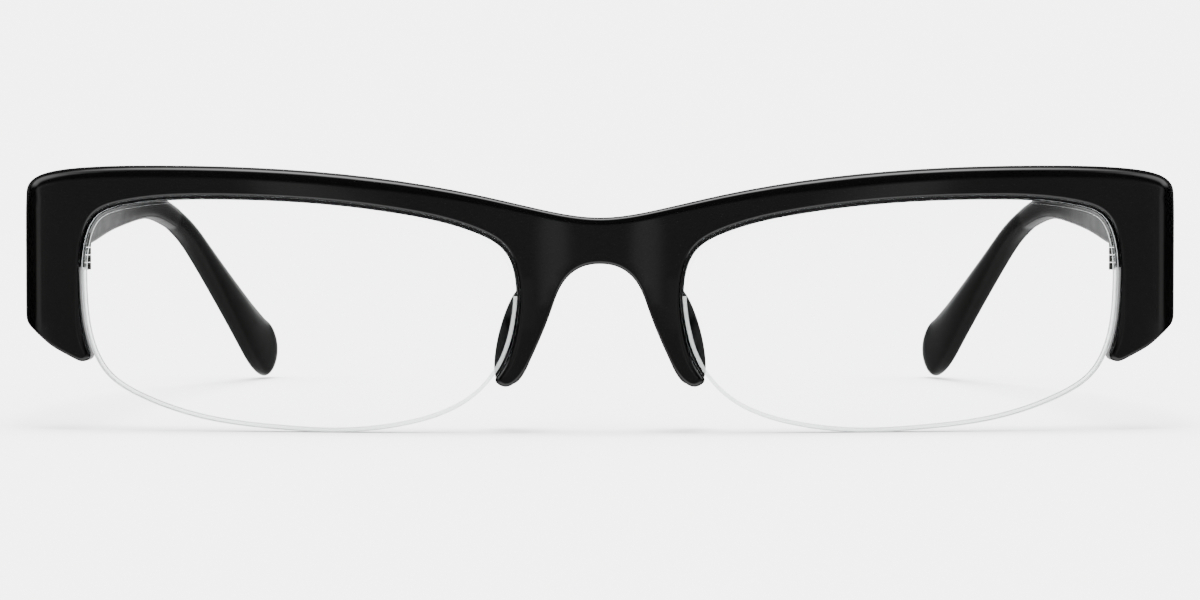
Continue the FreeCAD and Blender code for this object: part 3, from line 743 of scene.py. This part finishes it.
# Strengths of the soft boxes, and the angles in degrees between which each one fades: a
# pair for one edge, and four where it comes and goes.
LEVEL_FADE = (9, 20)
FRONT_CARD = 0.25
FRONT_CARD_FADE = (10, 30)
FRONT_CARD_SIDES = (48, 70)
BRIDGE_STRIPS = 0.40
BRIDGE_STRIPS_TURN = (11, 20, 22, 25)
CORNER_BOXES = 0.5
CORNER_BOXES_TURN = (43, 50, 54, 70)
SIDE_BOXES = 2.4
SIDE_BOXES_TURN = (60, 80, 100, 125)
SIDE_BOXES_HEIGHT = (14, 30, 50, 66)
BACK_GLOW = 0.09
BACK_GLOW_TURN = (100, 140)
BACK_CARD = 0.8
BACK_CARD_TURN = (160, 173)
BACK_HEIGHT = (-60, -10, 30, 60)
FLOOR_GLOW = 2.3
FLOOR_GLOW_LOSS = 2.05
FLOOR_GLOW_TURN = (62, 112)
FLOOR_GLOW_DROP = (16, 34)
OVERHEAD = 7.0
OVERHEAD_HEIGHT = (56, 76)
# The overhead box fades between these shares of the direction along Y.
OVERHEAD_BACK = (-0.12, 0.2)


def build_floor():
    """A pale floor that shows as bright as the surroundings it fades into."""
    material, tree, output = new_material("pale_floor")
    shader = principled(tree, output, Roughness=FLOOR_ROUGHNESS, Specular_IOR_Level=0.0)
    shader.inputs["Base Color"].default_value = (FLOOR_ALBEDO,) * 3 + (1.0,)
    corners = [(-FLOOR_HALF, -FLOOR_HALF, 0), (FLOOR_HALF, -FLOOR_HALF, 0),
               (FLOOR_HALF, FLOOR_HALF, 0), (-FLOOR_HALF, FLOOR_HALF, 0)]
    floor = mesh_object("floor", corners, [(0, 1, 2, 3)], material)
    floor.visible_glossy = False


def smooth_step(value, low, high):
    """0 below low, 1 above high, and smooth between."""
    share = np.clip((value - low) / (high - low), 0, 1)
    return share * share * (3 - 2 * share)


def window(value, low, full, fading, gone):
    """1 between full and fading, and 0 outside low and gone."""
    return smooth_step(value, low, full) * (1 - smooth_step(value, fading, gone))


def studio_radiance(direction):
    """What the gloss sees in a direction: dark, with soft boxes round the glasses.

    Height is in degrees above level. Turn is in degrees from straight in front, the
    same to both sides.
    """
    x, y, z = direction.T
    height = np.degrees(np.arcsin(np.clip(z, -1, 1)))
    turn = np.degrees(np.arctan2(np.abs(x), -y))
    level = 1 - smooth_step(np.abs(height), *LEVEL_FADE)
    front_card = FRONT_CARD * (1 - smooth_step(np.abs(height), *FRONT_CARD_FADE))
    front_card *= 1 - smooth_step(turn, *FRONT_CARD_SIDES)
    bridge_strips = BRIDGE_STRIPS * window(turn, *BRIDGE_STRIPS_TURN) * level
    corner_boxes = CORNER_BOXES * window(turn, *CORNER_BOXES_TURN) * level
    side_boxes = SIDE_BOXES * window(turn, *SIDE_BOXES_TURN)
    side_boxes *= window(height, *SIDE_BOXES_HEIGHT)
    back_wall = BACK_GLOW * smooth_step(turn, *BACK_GLOW_TURN)
    back_wall += BACK_CARD * smooth_step(turn, *BACK_CARD_TURN)
    back_wall *= window(height, *BACK_HEIGHT)
    floor = FLOOR_GLOW - FLOOR_GLOW_LOSS * smooth_step(turn, *FLOOR_GLOW_TURN)
    floor *= smooth_step(-height, *FLOOR_GLOW_DROP)
    overhead = OVERHEAD * smooth_step(height, *OVERHEAD_HEIGHT)
    overhead *= smooth_step(y, *OVERHEAD_BACK)
    return (front_card + bridge_strips + corner_boxes + side_boxes + back_wall + floor
            + overhead)


def build_dome():
    """A wide sphere of soft boxes that only the gloss of the glasses sees."""
    mesh = bpy.data.meshes.new("studio_dome")
    work = bmesh.new()
    bmesh.ops.create_icosphere(work, subdivisions=DOME_SUBDIVISIONS, radius=DOME_RADIUS)
    for face in work.faces:
        face.smooth = True
    work.to_mesh(mesh)
    work.free()
    places = np.array([tuple(v.co) for v in mesh.vertices])
    radiance = studio_radiance(places / np.linalg.norm(places, axis=1)[:, None])
    mesh.attributes.new("radiance", "FLOAT", "POINT").data.foreach_set(
        "value", radiance.astype(np.float32))
    material, tree, output = new_material("soft_boxes")
    emission = tree.nodes.new("ShaderNodeEmission")
    glow = tree.nodes.new("ShaderNodeAttribute")
    glow.attribute_name = "radiance"
    tree.links.new(glow.outputs["Fac"], emission.inputs["Strength"])
    tree.links.new(emission.outputs["Emission"], output.inputs["Surface"])
    mesh.materials.append(material)
    dome = bpy.data.objects.new("studio_dome", mesh)
    bpy.context.scene.collection.objects.link(dome)
    dome.visible_camera = False
    dome.visible_diffuse = False
    dome.visible_transmission = False
    dome.visible_shadow = False


def light_world():
    """Even pale light from all round, which is also what shows behind the glasses."""
    world = bpy.data.worlds.new("studio")
    bpy.context.scene.world = world
    world.use_nodes = True
    background = world.node_tree.nodes["Background"]
    background.inputs["Color"].default_value = (BACKGROUND, BACKGROUND, BACKGROUND, 1.0)
    background.inputs["Strength"].default_value = 1.0


def hang_top_light():
    """A wide light straight above, which makes up what the floor's albedo takes away."""
    light = bpy.data.lights.new("top_light", "SUN")
    light.energy = math.pi * BACKGROUND * (1 / FLOOR_ALBEDO - 1)
    light.angle = TOP_LIGHT_ANGLE
    hung = bpy.data.objects.new("top_light", light)
    hung.visible_glossy = False
    bpy.context.scene.collection.objects.link(hung)


build_floor()
build_dome()
light_world()
hang_top_light()
